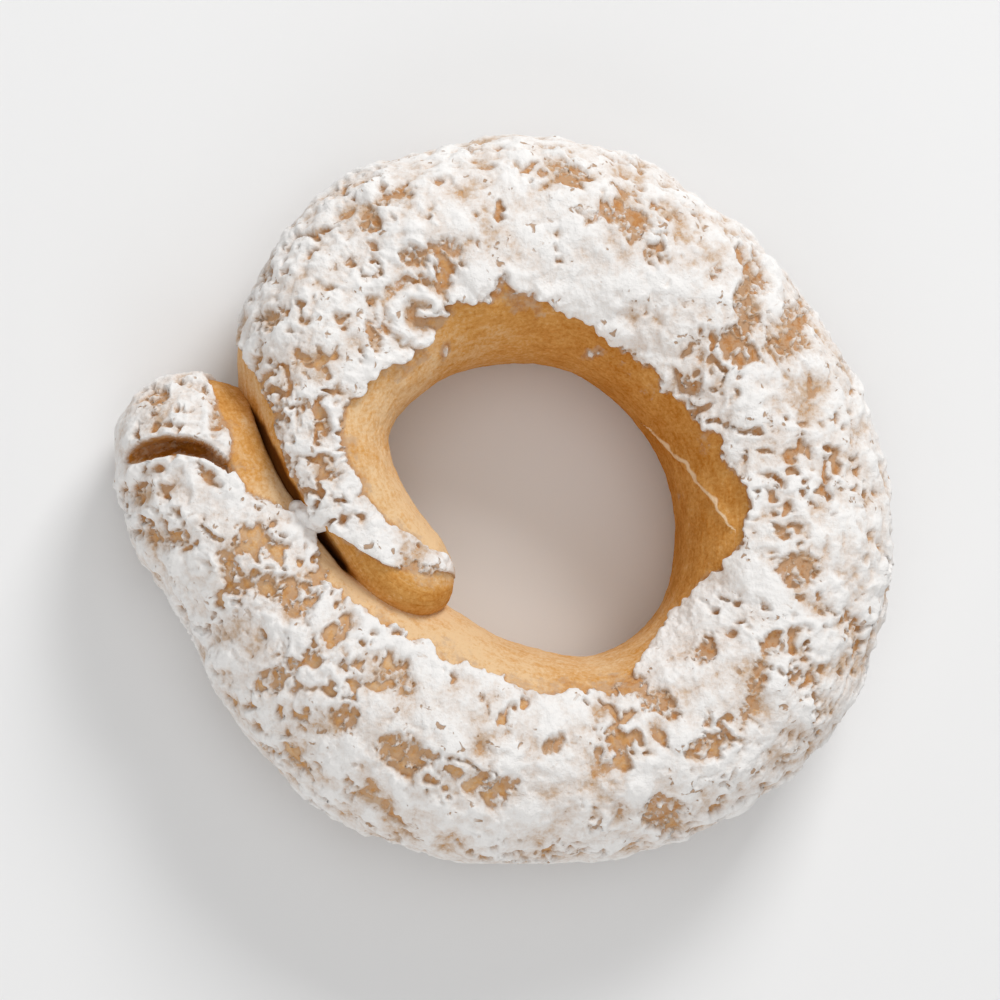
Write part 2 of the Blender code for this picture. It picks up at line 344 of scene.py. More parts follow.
# The glaze's edges: turn, section angle of its seam side and of its hole side, and the latter's bead.
GLAZE_EDGES = np.array(
    [
        (228.0, 98.0, 122.0, 0.2),
        (222.0, 92.0, 121.0, 0.3),
        (218.0, 89.0, 117.0, 0.3),
        (213.0, 87.0, 114.0, 0.2),
        (208.0, 82.0, 113.0, 0.2),
        (203.0, 74.0, 110.0, 0.2),
        (196.0, 65.0, 102.0, 0.2),
        (188.0, 54.0, 98.0, 0.3),
        (184.0, 46.0, 96.0, 0.3),
        (181.5, 36.0, 95.0, 0.3),
        (179.0, 44.0, 96.0, 0.3),
        (174.0, 47.0, 97.0, 0.4),
        (160.0, 44.0, 102.0, 0.4),
        (150.0, 12.0, 110.0, 0.3),
        (143.0, -60.0, 118.0, 0.4),
        (132.0, -128.0, 129.0, 0.8),
        (116.0, -128.0, 119.0, 0.9),
        (100.0, -128.0, 113.0, 0.6),
        (80.0, -128.0, 127.0, 0.9),
        (62.0, -128.0, 132.0, 0.9),
        (40.0, -128.0, 137.0, 0.4),
        (26.0, -128.0, 128.0, 0.3),
        (12.0, -128.0, 120.0, 0.2),
        (0.0, -128.0, 114.0, 0.1),
        (-11.0, -128.0, 121.0, 0.1),
        (-26.0, -128.0, 147.0, 0.1),
        (-40.0, -128.0, 160.0, 0.4),
        (-52.0, -128.0, 148.0, 0.5),
        (-64.0, -128.0, 130.0, 0.3),
        (-83.0, -128.0, 124.0, 0.5),
        (-100.0, -128.0, 116.0, 0.7),
        (-114.0, -128.0, 120.0, 0.8),
        (-128.0, -128.0, 116.0, 0.9),
        (-138.0, -128.0, 117.0, 0.9),
        (-144.0, -128.0, 112.0, 0.8),
        (-150.0, -128.0, 106.0, 0.5),
        (-156.0, -128.0, 109.0, 0.3),
        (-160.0, -128.0, 114.0, 0.4),
        (-164.0, -128.0, 122.0, 0.5),
        (-166.5, -128.0, 142.0, 0.5),
        (-168.5, -128.0, 142.0, 0.5),
        (-170.0, -128.0, 122.0, 0.5),
        (-172.5, -128.0, 112.0, 0.5),
        (-176.0, -128.0, 105.0, 0.5),
        (-180.0, -128.0, 99.0, 0.4),
        (-184.0, -128.0, 96.0, 0.3),
        (-190.0, -128.0, 99.0, 0.3),
        (-200.0, -128.0, 95.0, 0.3),
    ]
)
# Thin places: right and up as the photograph's side shows them, half length, half width, turn, thinness.
THIN_PLACES = (
    (-11.2, 26.5, 1.6, 0.6, 20, 0.9),
    (-13.4, 24.4, 0.9, 1.0, 0, 0.7),
    (-20.8, 16.4, 1.8, 0.8, 50, 0.8),
    (-5.6, 22.2, 2.4, 1.0, 5, 0.65),
    (-9.6, 21.4, 1.1, 0.7, 0, 0.8),
    (-7.2, 19.2, 1.6, 0.6, 85, 0.6),
    (-2.2, 19.8, 1.1, 0.9, 60, 0.8),
    (-13.2, 15.0, 2.6, 0.7, 95, 1.0),
    (-16.8, 20.2, 0.7, 0.5, 20, 0.9),
    (-15.2, 20.6, 0.5, 0.4, 30, 0.9),
    (-6.5, 16.6, 0.8, 0.6, 10, 0.9),
    (-2.4, 17.5, 1.0, 0.8, 60, 0.8),
    (4.9, 29.0, 2.6, 0.5, -18, 0.8),
    (8.5, 24.8, 3.2, 1.4, -12, 0.6),
    (6.8, 20.9, 1.2, 0.6, 15, 0.8),
    (17.3, 20.9, 1.3, 0.6, 80, 0.8),
    (20.4, 17.8, 2.6, 1.5, 80, 1.0),
    (24.5, 15.0, 2.3, 1.5, 100, 0.8),
    (19.2, 14.1, 1.9, 1.1, 100, 0.9),
    (15.4, 10.8, 1.2, 0.9, 100, 0.8),
    (24.5, -5.8, 1.8, 1.6, 0, 0.9),
    (21.4, -14.6, 3.2, 0.8, 65, 0.9),
    (24.2, -14.4, 2.8, 0.8, 65, 0.7),
    (16.4, -13.5, 1.3, 0.9, 60, 0.8),
    (11.8, -17.8, 2.4, 1.4, -40, 0.8),
    (16.6, -21.4, 1.8, 1.2, 20, 0.9),
    (8.4, -20.6, 1.3, 0.9, 90, 0.9),
    (3.6, -21.2, 1.6, 0.9, 15, 0.9),
    (-1.1, -25.7, 1.8, 1.3, 20, 0.7),
    (6.5, -28.2, 1.5, 0.8, 80, 0.8),
    (12.5, -27.5, 2.0, 1.5, 20, 0.8),
    (-11.0, -22.1, 2.2, 1.3, -20, 1.0),
    (-11.2, -15.9, 2.6, 1.7, -15, 0.8),
    (-16.5, -11.7, 0.9, 0.8, 0, 1.0),
    (-20.8, -8.5, 2.8, 1.2, -35, 0.9),
    (-23.7, -4.0, 2.2, 1.2, -30, 0.7),
    (-25.5, -7.5, 2.6, 0.8, -70, 0.7),
    (-22.0, -16.0, 1.8, 1.1, 0, 0.7),
    (-15.8, -19.3, 1.8, 1.2, 0, 0.7),
    (-20.8, -22.6, 2.1, 1.0, -30, 0.8),
    (-17.7, 6.7, 1.8, 0.7, 95, 0.8),
    (-17.0, 1.2, 1.8, 1.3, 100, 0.9),
    (-20.5, 4.5, 2.6, 0.8, 105, 0.6),
    (-32.7, 8.6, 1.1, 0.8, 0, 0.9),
    (-29.9, 7.3, 0.9, 0.5, 0, 0.8),
    (-27.3, 5.8, 0.6, 0.9, 0, 0.8),
    (-24.5, 0.2, 1.2, 0.8, -30, 0.9),
    (-27.7, 1.9, 0.9, 0.5, -20, 0.8),
    (-34.0, 0.2, 0.8, 0.8, 0, 0.8),
    (-24.2, -3.6, 1.3, 0.9, -30, 0.9),
    (-30.3, -3.7, 1.0, 1.0, 0, 0.7),
    (-33.1, -3.0, 1.0, 1.0, 0, 0.7),
    (-10.0, -5.5, 1.4, 0.7, -30, 0.7),
)
# Full places, where the coat has no gaps: right and up, radius, height.
FULL_PLACES = (
    (8.0, 16.6, 2.6, 0.35),
    (-13.0, 10.2, 3.0, 0.25),
    (-9.6, 13.6, 1.8, 0.3),
    (-4.5, 14.9, 1.4, 0.25),
    (-4.5, 19.4, 1.5, 0.25),
    (9.5, -24.2, 1.7, 0.15),
    (4.5, 20.0, 3.0, 0.2),
    (-17.6, -2.2, 2.6, 0.3),
    (-13.2, -4.2, 2.0, 0.15),
    (21.0, 2.0, 3.2, 0.1),
    (19.5, -9.0, 2.6, 0.25),
    (2.5, -17.0, 2.6, 0.2),
    (-26.0, 1.0, 2.4, 0.1),
    (-17.5, 18.5, 2.8, 0.1),
)
# A curl of thick glaze, with a short bar across it: its bearings are in degrees, anticlockwise.
CURL_MIDDLE = (-9.5, 16.2)
CURL_RADIUS = 1.9
CURL_HALF_WIDTH = 0.85
CURL_HEIGHT = 1.1
CURL_START = 8
CURL_SWEEP = 317
# Drips below the coat's edge on the hole's wall: right and up, half length, half width, turn.
DRIPS = (
    (6.4, 13.2, 0.9, 0.4, 12),
    (-6.9, 13.0, 0.9, 0.3, 75),
    (13.6, 0.2, 0.7, 0.4, 30),
)
DRIP_HEIGHT = 0.28
# The photograph's side looks down from a little left of straight above and a little in front of it: how
# far it leans along x and y for each mm of height, and the height whose points stay in place.
VIEW_LEAN = np.array([math.tan(math.radians(degrees)) for degrees in (9, 5)])
VIEW_HEIGHT = 8.0


def as_seen(points):
    """Where each point appears from the photograph's side: its x and y, sheared by its height."""
    return points[..., :2] + (points[..., 2:] - VIEW_HEIGHT) * VIEW_LEAN


def from_spot(seen, spot):
    """How far each place lies from a turned oval's middle, where its outline is 1.

    It is the hypotenuse of the ways along the oval and across it, over its half length and half width.
    """
    x, y, length, width, turned = spot
    c, s = math.cos(math.radians(turned)), math.sin(math.radians(turned))
    lengthwise = ((seen[..., 0] - x) * c + (seen[..., 1] - y) * s) / length
    sideways = ((seen[..., 1] - y) * c - (seen[..., 0] - x) * s) / width
    return np.hypot(lengthwise, sideways)


def nearest_dot(points, size, seed):
    """Distance from each point to the nearest of the dots scattered one to a cell, and that dot's number."""
    base = np.floor(points / size).astype(np.int64)
    nearest = np.full(points.shape[:-1], 9.0)
    number = np.zeros(points.shape[:-1])
    for step in np.ndindex(3, 3, 3):
        cell = base + (np.array(step) - 1)
        bits = mixed_bits(cell, seed)
        jitter = np.stack([bits & 0x3FF, (bits >> 10) & 0x3FF, (bits >> 20) & 0x3FF], axis=-1) / 1024
        away = np.linalg.norm((cell + jitter) * size - points, axis=-1)
        closer = away < nearest
        nearest = np.where(closer, away, nearest)
        number = np.where(closer, (bits >> 7 & 0xFFFF) / 65536, number)
    return nearest, number


def glaze_lace(bent, small):
    """A thin coat: bare but for grains, threads where a noise crosses zero, and dots."""
    threads = ease(0.20, 0.03, np.abs(lumps(bent, 1.1, 48)))
    dot_away, dot_number = nearest_dot(bent, 0.7, 56)
    dots = ease(0.30, 0.14, dot_away) * (dot_number > 0.3)
    grains = 0.40 * small + 0.34 * lumps(bent, 0.55, 49)
    return -0.13 + np.maximum(grains, 0.30 * threads - 0.05 + 0.3 * grains) + 0.28 * dots


def pitted(thickness, points, warp, calm, small, fine):
    """The coat less its pits: ragged holes where a noise is high, and rounder ones about scattered dots.

    Both gather where two slow noises are high.
    """
    clustered = ease(-0.2, 0.35, lumps(points, 5.0, 57) + 0.5 * lumps(points, 1.9, 58) - 0.2 * calm)
    jagged = points + 0.35 * warp + small[..., None] * np.array([0.3, -0.2, 0.25])
    holes = ease(0.04, 0.72, lumps(jagged, 1.0, 50) + 0.25 * fine)
    thickness = thickness - holes * clustered
    away, number = nearest_dot(jagged + 0.14 * fine[..., None], 2.1, 61)
    radius = (0.2 + 0.35 * number**2) * clustered
    return thickness - 0.9 * ease(1.8, 0.4, away / (radius + 1e-3)) * (number > 0.7)


def streaked(thickness, points, warp, along, angle, signed):
    """The coat less its streaks: a noise on the unrolled rope, drawn out lengthwise.

    They come in drifts, on the top and the outer side.
    """
    unrolled = np.stack([along / 2.6, np.radians(angle) * ROPE_RADIUS / 0.6, 0 * along], axis=-1)
    drifts = ease(0.05, 0.5, lumps(points, 8.0, 59)) * ease(95, 45, np.abs(signed - 20))
    return thickness - 0.3 * drifts * ease(0.2, 0.6, lumps(unrolled + 0.6 * warp, 1.0, 60))


def curled(thickness, seen, upper, medium, small, fine):
    """The coat with its curl: round it the coat thins, and inside it only the ridge and the bar stand.

    The ridge is a bell curve about the curl's radius, which widens a little towards its end. The bar is one
    about a level line from the curl's middle to its right side.
    """
    right, over = seen[..., 0] - CURL_MIDDLE[0], seen[..., 1] - CURL_MIDDLE[1]
    bearing = (np.degrees(np.arctan2(over, right)) - CURL_START) % 360
    swept = ease(-8, 14, bearing) * ease(CURL_SWEEP + 8, CURL_SWEEP - 14, bearing)
    apart = np.hypot(right, over) * (1 + 0.16 * small) + 0.1 * medium
    apart = apart / (1 + 0.3 * ease(0.7, 1.0, bearing / CURL_SWEEP))
    ridge = swept * np.exp(-(((apart - CURL_RADIUS) / CURL_HALF_WIDTH) ** 2))
    bar = ease(-0.3, 0.4, right) * np.exp(-(((over - 0.25 + 0.2 * small) / 0.42) ** 2))
    ridge = CURL_HEIGHT * np.maximum(ridge, 0.85 * bar)
    inner, rim, outer = (CURL_RADIUS + widths * CURL_HALF_WIDTH for widths in (0.9, 1.3, 2.0))
    around = upper * ease(outer, rim, apart)
    within = upper * ease(rim, inner, apart)
    thickness = thickness - 0.38 * around
    return thickness + (ridge - 0.3 + 0.3 * medium + 0.08 * fine - thickness) * within


def glaze_thickness(points, turn, along, angle):
    """The glaze's thickness in mm, negative where the crust is bare.

    A full coat is the sum of slow lumps and ever quicker ones, bent by a warp. Where noise and the thin
    places make it thin, lace takes its place. Pits and streaks are taken out, the curl is laid on, and the
    coat thins towards the tray, though never below SPARSEST_COAT, and towards the inner tip. It ends at its
    two edges, scalloped by noise, and the crust beyond is smeared near them. The drips are laid on last.
    """
    warp = np.stack([lumps(points, 1.4, seed) for seed in (41, 42, 43)], axis=-1)
    bent = points + 0.45 * warp
    seen = as_seen(points)
    upper = ease(7.0, 10.5, points[..., 2])
    calm = ease(-0.3, 0.4, lumps(points, 7.0, 44))
    medium = lumps(bent, 1.7, 45)
    small = lumps(bent, 0.85, 46)
    fine = lumps(points, 0.42, 55)
    full = GLAZE_THICKNESS + GLAZE_LUMP_HEIGHT * lumps(points, GLAZE_LUMP_SIZE, 2)
    full = full + (0.34 * medium + 0.18 * small) * (1 - 0.45 * calm) + 0.07 * fine

    thinness = 0.55 * lumps(points, 4.5, 51) + 0.45 * lumps(bent, 2.0, 52) - 0.25 * calm - 0.32
    placed = np.zeros(turn.shape)
    for *spot, thin in THIN_PLACES:
        placed = np.maximum(placed, thin * ease(1.7, 0.5, from_spot(seen, spot)))
    thinness = thinness + placed * upper
    for x, y, radius, height in FULL_PLACES:
        apart = np.hypot(seen[..., 0] - x, seen[..., 1] - y) / radius
        dab = upper * np.exp(-(apart**2))
        full = full + height * dab
        thinness = thinness - 0.9 * dab

    signed = (angle + 180) % 360 - 180
    seam_edge, hole_edge, bead = (
        np.interp(-turn, -GLAZE_EDGES[:, 0], column) for column in GLAZE_EDGES[:, 1:].T
    )
    scallops = 6.0 * lumps(points, 3.0, 53) + 3.5 * lumps(bent, 1.3, 54) + 2.5 * small
    scallops = scallops * (1 - 0.6 * ease(158, 170, np.abs(turn)))
    inside = np.minimum(hole_edge + scallops - signed, signed - seam_edge + 0.5 * scallops)
    thinness = thinness + 0.8 * (1 - bead) * ease(13, 1, inside)
    full = full + 0.30 * bead * np.exp(-(((inside - 8) / 6) ** 2))

    openness = ease(-0.12, 0.34, thinness + 0.30 * small + 0.20 * fine)
    thickness = full + (glaze_lace(bent, small) - full) * openness
    thickness = pitted(thickness, points, warp, calm, small, fine)
    thickness = streaked(thickness, points, warp, along, angle, signed)
    thickness = curled(thickness, seen, upper, medium, small, fine)
    thickness = (thickness - 0.22 * ease(3.0, 0.5, points[..., 2])).clip(min=SPARSEST_COAT)
    thickness = np.minimum(thickness, (0.32 * along).clip(max=HIGHEST_GLAZE))

    edge = ease(-0.5, 3.0, inside)
    smear = ease(-0.1, 0.5, lumps(points, 3.6, 64)) * ease(-16, 0, inside + 8 * small)
    thickness = thickness * edge + (BAREST_CRUST + 0.7 * smear) * (1 - edge)
    for spot in DRIPS:
        drip = 0.55 - from_spot(seen, spot) + 0.5 * small + 0.25 * fine
        thickness = np.maximum(thickness, drip.clip(max=DRIP_HEIGHT) - 2 * (1 - upper))
    return thickness


def skin_at(rings, angles):
    """The crust and the glaze's thickness on it, on a grid of rings and of angles round the rope.

    Gives the baked points and their normals, the thickness, which is raised on the crack's lip and taken
    out of the crack and the seam, the turn, the length so far, how deep the crack and the seam are, and how
    far the seam is.
    """
    points, normals, turn, along, fullness = rope_skin(rings, angles)
    baked, crack, rim, gap = crust_points(points, normals, turn, angles, fullness)
    thickness = glaze_thickness(baked, turn, along, angles + 0 * turn)
    thickness = thickness + 0.45 * rim - 1.2 * ease(0.15, 0.7, crack)
    return baked, normals, thickness, turn, along, crack, gap


def browning_and_shade_of(baked, turn, angles, thickness, crack):
    """How brown the dough is drawn, painted shade and light included: 0 is pale, 1 brown, more burnt.

    A cosine makes one side of the ring browner, partly a darker crust and partly painted shade on the
    hole's wall that faces away from the key light, and slow noise mottles it. It is paler on the far
    stretch, which is painted light on that stretch's shaded wall. It is browner in the glaze's gaps, on
    the outer end and underneath; browner beside the glaze, partly a darker crust and partly painted shade
    below the coat's edge; and darker on the thumb's pressed face and in the crack and the seam, which is
    painted shade.
    """
    # One side browner: partly a darker crust, partly painted shade on the hole's wall facing away from the
    # key light.
    browning_and_shade = 0.40 + 0.38 * np.cos(np.radians(turn - 45)) + 0.14 * lumps(baked, 6.0, 62)
    # Paler on the far stretch: painted light on its shaded wall.
    browning_and_shade = browning_and_shade - 0.1 * ease(50, 75, turn) * ease(165, 145, turn)
    browning_and_shade = browning_and_shade + 0.3 * ease(-0.65, -0.48, thickness) + 0.35 * ease(-176, -184, turn)
    # Browner close beside the glaze's edges: partly a darker crust, partly painted shade below the coat's
    # step.
    browning_and_shade = browning_and_shade + 0.4 * ease(-0.45, -0.2, thickness)
    # Browner on the thumb's pressed face: painted shade between the lapped ends.
    browning_and_shade = browning_and_shade + 0.55 * ease(150, 190, turn) * ease(100, 70, angles)
    # Browner underneath, and darker in the crack and the seam, which is painted shade.
    return browning_and_shade + 0.5 * ease(1.5, 0.2, baked[..., 2]) + 0.9 * ease(0.1, 1.3, crack)


def closed_skin(name, points, attributes):
    """A mesh of the grid `points`, joined round each ring and closed by a fan at each end.

    The two end rings are marked sharp, so that the fans don't bend the shading beside them. Each attribute
    gives one number to a point, and a fan's middle gets the mean of its ring.
    """
    rings, sides = points.shape[:2]
    tips = np.stack([points[0].mean(0), points[-1].mean(0)])
    places = (np.concatenate([points.reshape(-1, 3), tips]) + RING_MIDDLE) / 1000
    grid = np.arange(rings * sides).reshape(rings, sides)
    following = np.roll(grid, -1, axis=1)
    quads = np.stack([grid[:-1], following[:-1], following[1:], grid[1:]], axis=-1).reshape(-1, 4)
    first = np.stack([np.full(sides, rings * sides), following[0], grid[0]], axis=-1)
    last = np.stack([np.full(sides, rings * sides + 1), grid[-1], following[-1]], axis=-1)
    corners = np.concatenate([quads.ravel(), first.ravel(), last.ravel()])
    sizes = np.concatenate([np.full(len(quads), 4), np.full(2 * sides, 3)])
    starts = np.concatenate([[0], np.cumsum(sizes)[:-1]])
    mesh = bpy.data.meshes.new(name)
    mesh.vertices.add(len(places))
    mesh.vertices.foreach_set("co", places.ravel())
    mesh.loops.add(len(corners))
    mesh.loops.foreach_set("vertex_index", corners.astype(np.int32))
    mesh.polygons.add(len(sizes))
    mesh.polygons.foreach_set("loop_start", starts.astype(np.int32))
    mesh.update(calc_edges=True)
    ends = np.empty(2 * len(mesh.edges), np.int32)
    mesh.edges.foreach_get("vertices", ends)
    ends = ends.reshape(-1, 2)
    on_last = (ends >= (rings - 1) * sides) & (ends < rings * sides)
    rim = (ends < sides).all(1) | on_last.all(1)
    mesh.attributes.new("sharp_edge", "BOOLEAN", "EDGE").data.foreach_set("value", rim)
    for label, values in attributes.items():
        layer = mesh.attributes.new(label, "FLOAT", "POINT")
        means = [values[0].mean(), values[-1].mean()]
        layer.data.foreach_set("value", np.concatenate([values.ravel(), means]).astype(np.float32))
    mesh.shade_smooth()
    made = bpy.data.objects.new(name, mesh)
    bpy.context.scene.collection.objects.link(made)
    return made


CRUST_RINGS = 560
CRUST_ANGLES = section_angles(((-60, 215, 148), (215, 300, 28)))
baked, _, thickness, turn, along, crack, gap = skin_at(CRUST_RINGS, CRUST_ANGLES)
crust_fields = {
    "sugar": thickness,
    # Browning with painted shade and light in it, for the dough's colour.
    "browning_and_shade": browning_and_shade_of(baked, turn, CRUST_ANGLES, thickness, crack),
    "along": along,
    "around": np.radians(CRUST_ANGLES) * ROPE_RADIUS + 0 * turn,
    "gap": gap,
    "fold": fold_distance(turn, CRUST_ANGLES),
}
crust = closed_skin("crust", baked, crust_fields)


def add_node(tree, kind, inputs, **settings):
    """A shader node with its settings made and each input set to a value or linked from a socket."""
    made = tree.nodes.new(kind)
    for name, value in settings.items():
        setattr(made, name, value)
    for socket, value in inputs.items():
        if isinstance(value, bpy.types.NodeSocket):
            tree.links.new(value, made.inputs[socket])
        else:
            made.inputs[socket].default_value = value
    return made


def maths(tree, operation, *values):
    """The result of a Math node on up to three numbers or sockets."""
    return add_node(tree, "ShaderNodeMath", dict(enumerate(values)), operation=operation).outputs[0]


def blend(tree, share, first, second):
    """The first colour passing into the second as the share goes from 0 to 1."""
    inputs = {"Factor": share, 6: first, 7: second}
    return add_node(tree, "ShaderNodeMix", inputs, data_type="RGBA").outputs[2]


def between(tree, value, low, high):
    """A smooth step of the value from 0 at low to 1 at high."""
    inputs = {"Value": value, "From Min": low, "From Max": high}
    made = add_node(tree, "ShaderNodeMapRange", inputs, interpolation_type="SMOOTHSTEP", clamp=True)
    return made.outputs["Result"]


def noise(tree, place, size_mm, detail=2.0, roughness=0.5, distortion=0.0):
    """Noise about 0.5 whose bumps are about size_mm across, on a place in metres."""
    inputs = {
        "Vector": place,
        "Scale": 1000 / size_mm,
        "Detail": detail,
        "Roughness": roughness,
        "Distortion": distortion,
    }
    return add_node(tree, "ShaderNodeTexNoise", inputs).outputs["Fac"]


def attribute(tree, name):
    """The number that the mesh's attribute of this name gives to each point."""
    return add_node(tree, "ShaderNodeAttribute", {}, attribute_name=name).outputs["Fac"]


def add_sockets(group, way, kind, names):
    """Gives a node group one socket of this kind for each name, as its inputs or its outputs."""
    for name in names:
        group.interface.new_socket(name, in_out=way, socket_type=kind)


PALE_DOUGH = (0.80, 0.56, 0.32, 1)
GOLDEN_DOUGH = (0.66, 0.335, 0.098, 1)
BROWN_DOUGH = (0.47, 0.175, 0.024, 1)
# The darkest brown: burnt crust, and painted shade in the crack, the seam and other shaded places.
BURNT_AND_SHADED_DOUGH = (0.11, 0.034, 0.007, 1)
FOLD_DOUGH = (0.88, 0.68, 0.46, 1)
THIN_GLAZE = (0.58, 0.41, 0.275, 1)
PALE_GLAZE = (0.75, 0.67, 0.61, 1)
WHITE_GLAZE = (0.88, 0.86, 0.84, 1)
PORE_BROWN = (0.42, 0.24, 0.12, 1)


def baked_crust_group():
    """Colour and height of baked dough: pale to brown by its first input, mottled and grainy.

    The first input holds painted shade and light as well as browning, and past 1 the colour goes to the
    darkest brown, partly burnt crust and partly painted shade. Along and Around, in mm, give the faint
    drawn-out lines that rolling leaves along the rope. Gap is the distance in mm from the seam between
    the lapped ends, beside which the crust is painted all but black, as shade in the crevice.
    """
    group = bpy.data.node_groups.new("baked_crust", "ShaderNodeTree")
    add_sockets(group, "INPUT", "NodeSocketFloat", ("Browning_and_shade", "Along", "Around", "Gap"))
    add_sockets(group, "OUTPUT", "NodeSocketColor", ("Colour",))
    add_sockets(group, "OUTPUT", "NodeSocketFloat", ("Height",))
    source = group.nodes.new("NodeGroupInput")
    place = group.nodes.new("ShaderNodeTexCoord").outputs["Object"]
    mottle = maths(group, "SUBTRACT", noise(group, place, 2.2, 4.0, 0.6), 0.5)
    grain = maths(group, "SUBTRACT", noise(group, place, 0.33, 3.0, 0.65), 0.5)
    drawn = {
        "X": maths(group, "MULTIPLY", source.outputs["Along"], 0.00022),
        "Y": maths(group, "MULTIPLY", source.outputs["Around"], 0.001),
    }
    drawn = add_node(group, "ShaderNodeCombineXYZ", drawn).outputs[0]
    lines = maths(group, "SUBTRACT", noise(group, drawn, 0.7, 3.0, 0.6, 0.3), 0.5)
    shade = maths(group, "MULTIPLY_ADD", mottle, 0.8, source.outputs["Browning_and_shade"])
    shade = maths(group, "MULTIPLY_ADD", grain, 1.1, shade)
    shade = maths(group, "MULTIPLY_ADD", lines, 0.7, shade)
    ramp = add_node(group, "ShaderNodeValToRGB", {"Fac": shade})
    stops = ramp.color_ramp.elements
    stops[0].position = 0.0
    stops[0].color = PALE_DOUGH
    stops[1].position = 1.0
    stops[1].color = BROWN_DOUGH
    middle = stops.new(0.5)
    middle.color = GOLDEN_DOUGH
    # Past 1 the colour goes to the darkest brown: partly burnt crust, partly painted shade.
    burnt_and_shaded = maths(group, "MULTIPLY", between(group, shade, 1.0, 1.9), 0.7)
    # Beside the seam the crust is painted all but black: painted shade in the crevice between the ends.
    ragged = maths(group, "MULTIPLY_ADD", mottle, 0.5, source.outputs["Gap"])
    painted_gap_shade = maths(group, "MULTIPLY", between(group, ragged, 0.45, 0.16), 0.95)
    burnt_and_shaded = maths(group, "MAXIMUM", burnt_and_shaded, painted_gap_shade)
    colour = blend(group, burnt_and_shaded, ramp.outputs["Color"], BURNT_AND_SHADED_DOUGH)
    height = maths(group, "MULTIPLY_ADD", grain, 0.8, maths(group, "MULTIPLY", mottle, 0.6))
    height = maths(group, "MULTIPLY_ADD", lines, 0.6, height)
    add_node(group, "NodeGroupOutput", {"Colour": colour, "Height": height})
    return group


def dried_glaze_group():
    """Colour, cover and height of dried glaze from its thickness in mm, made uneven by grains and crumbs.

    A little below zero a faint film and a dusting of crumbs stay on the crust. Above zero the glaze covers
    it, brownish where it is thin, then pinkish, and white where it is thick. Fine pores, in drifts, are
    brown and sunk.
    """
    group = bpy.data.node_groups.new("dried_glaze", "ShaderNodeTree")
    add_sockets(group, "INPUT", "NodeSocketFloat", ("Thickness",))
    add_sockets(group, "OUTPUT", "NodeSocketColor", ("Colour",))
    add_sockets(group, "OUTPUT", "NodeSocketFloat", ("Cover", "Height"))
    source = group.nodes.new("NodeGroupInput")
    place = group.nodes.new("ShaderNodeTexCoord").outputs["Object"]
    grain = maths(group, "SUBTRACT", noise(group, place, 0.28, 2.0, 0.6), 0.5)
    crumb = maths(group, "SUBTRACT", noise(group, place, 0.7, 3.0, 0.6), 0.5)
    cloud = maths(group, "SUBTRACT", noise(group, place, 2.4, 4.0, 0.6), 0.5)
    uneven = maths(group, "MULTIPLY_ADD", grain, 0.45, maths(group, "MULTIPLY", crumb, 0.55))
    depth = maths(group, "ADD", source.outputs["Thickness"], uneven)
    dusted = maths(group, "MULTIPLY_ADD", crumb, 1.6, depth)
    near = between(group, depth, -0.66, -0.44)
    dust = maths(group, "MULTIPLY_ADD", between(group, dusted, -0.5, -0.12), 0.4, 0.26)
    film = maths(group, "MULTIPLY", near, dust)
    cover = maths(group, "MAXIMUM", film, between(group, depth, -0.08, 0.07))
    full = maths(group, "ADD", depth, maths(group, "MULTIPLY", cloud, 1.1))
    colour = blend(group, between(group, full, -0.1, 0.32), THIN_GLAZE, PALE_GLAZE)
    colour = blend(group, between(group, full, 0.14, 0.70), colour, WHITE_GLAZE)
    pores = between(group, noise(group, place, 0.9, 2.0, 0.5, 0.5), 0.37, 0.30)
    drifts = between(group, noise(group, place, 3.4, 2.0), 0.47, 0.56)
    pores = maths(group, "MULTIPLY", pores, drifts)
    colour = blend(group, maths(group, "MULTIPLY", pores, 0.85), colour, PORE_BROWN)
    height = maths(group, "MULTIPLY_ADD", grain, 0.5, maths(group, "MULTIPLY", crumb, 0.9))
    height = maths(group, "MULTIPLY_ADD", pores, -0.5, height)
    add_node(group, "NodeGroupOutput", {"Colour": colour, "Cover": cover, "Height": height})
    return group


BAKED_CRUST = baked_crust_group()
DRIED_GLAZE = dried_glaze_group()
BUMP_DEPTH = 0.0002


def crust_material():
    """Bare baked dough, dusted with glaze near the coat's edges, with a crooked pale thread on the fold."""
    material = bpy.data.materials.new("baked_dough")
    material.use_nodes = True
    tree = material.node_tree
    shader = tree.nodes["Principled BSDF"]
    # The dough's browning input carries painted shade and light too.
    fields = {name.capitalize(): attribute(tree, name) for name in ("browning_and_shade", "along", "around", "gap")}
    dough = add_node(tree, "ShaderNodeGroup", fields, node_tree=BAKED_CRUST)
    sugar = maths(tree, "ADD", maths(tree, "MULTIPLY", attribute(tree, "sugar"), 0.6), -0.05)
    glaze = add_node(tree, "ShaderNodeGroup", {"Thickness": sugar}, node_tree=DRIED_GLAZE)
    colour = blend(tree, glaze.outputs["Cover"], dough.outputs["Colour"], glaze.outputs["Colour"])
    place = tree.nodes.new("ShaderNodeTexCoord").outputs["Object"]
    crooked = maths(tree, "MULTIPLY_ADD", noise(tree, place, 2.0, 1.0), 1.6, attribute(tree, "fold"))
    apart = maths(tree, "ABSOLUTE", maths(tree, "SUBTRACT", crooked, 0.8))
    thread = maths(tree, "MULTIPLY", between(tree, apart, 0.26, 0.06), 0.8)
    colour = blend(tree, thread, colour, FOLD_DOUGH)
    tree.links.new(colour, shader.inputs["Base Color"])
    relief = {"Height": dough.outputs["Height"], "Strength": 0.6, "Distance": BUMP_DEPTH}
    bump = add_node(tree, "ShaderNodeBump", relief)
    tree.links.new(bump.outputs["Normal"], shader.inputs["Normal"])
    shader.inputs["Roughness"].default_value = 0.66
    shader.inputs["Specular IOR Level"].default_value = 0.0
    return material


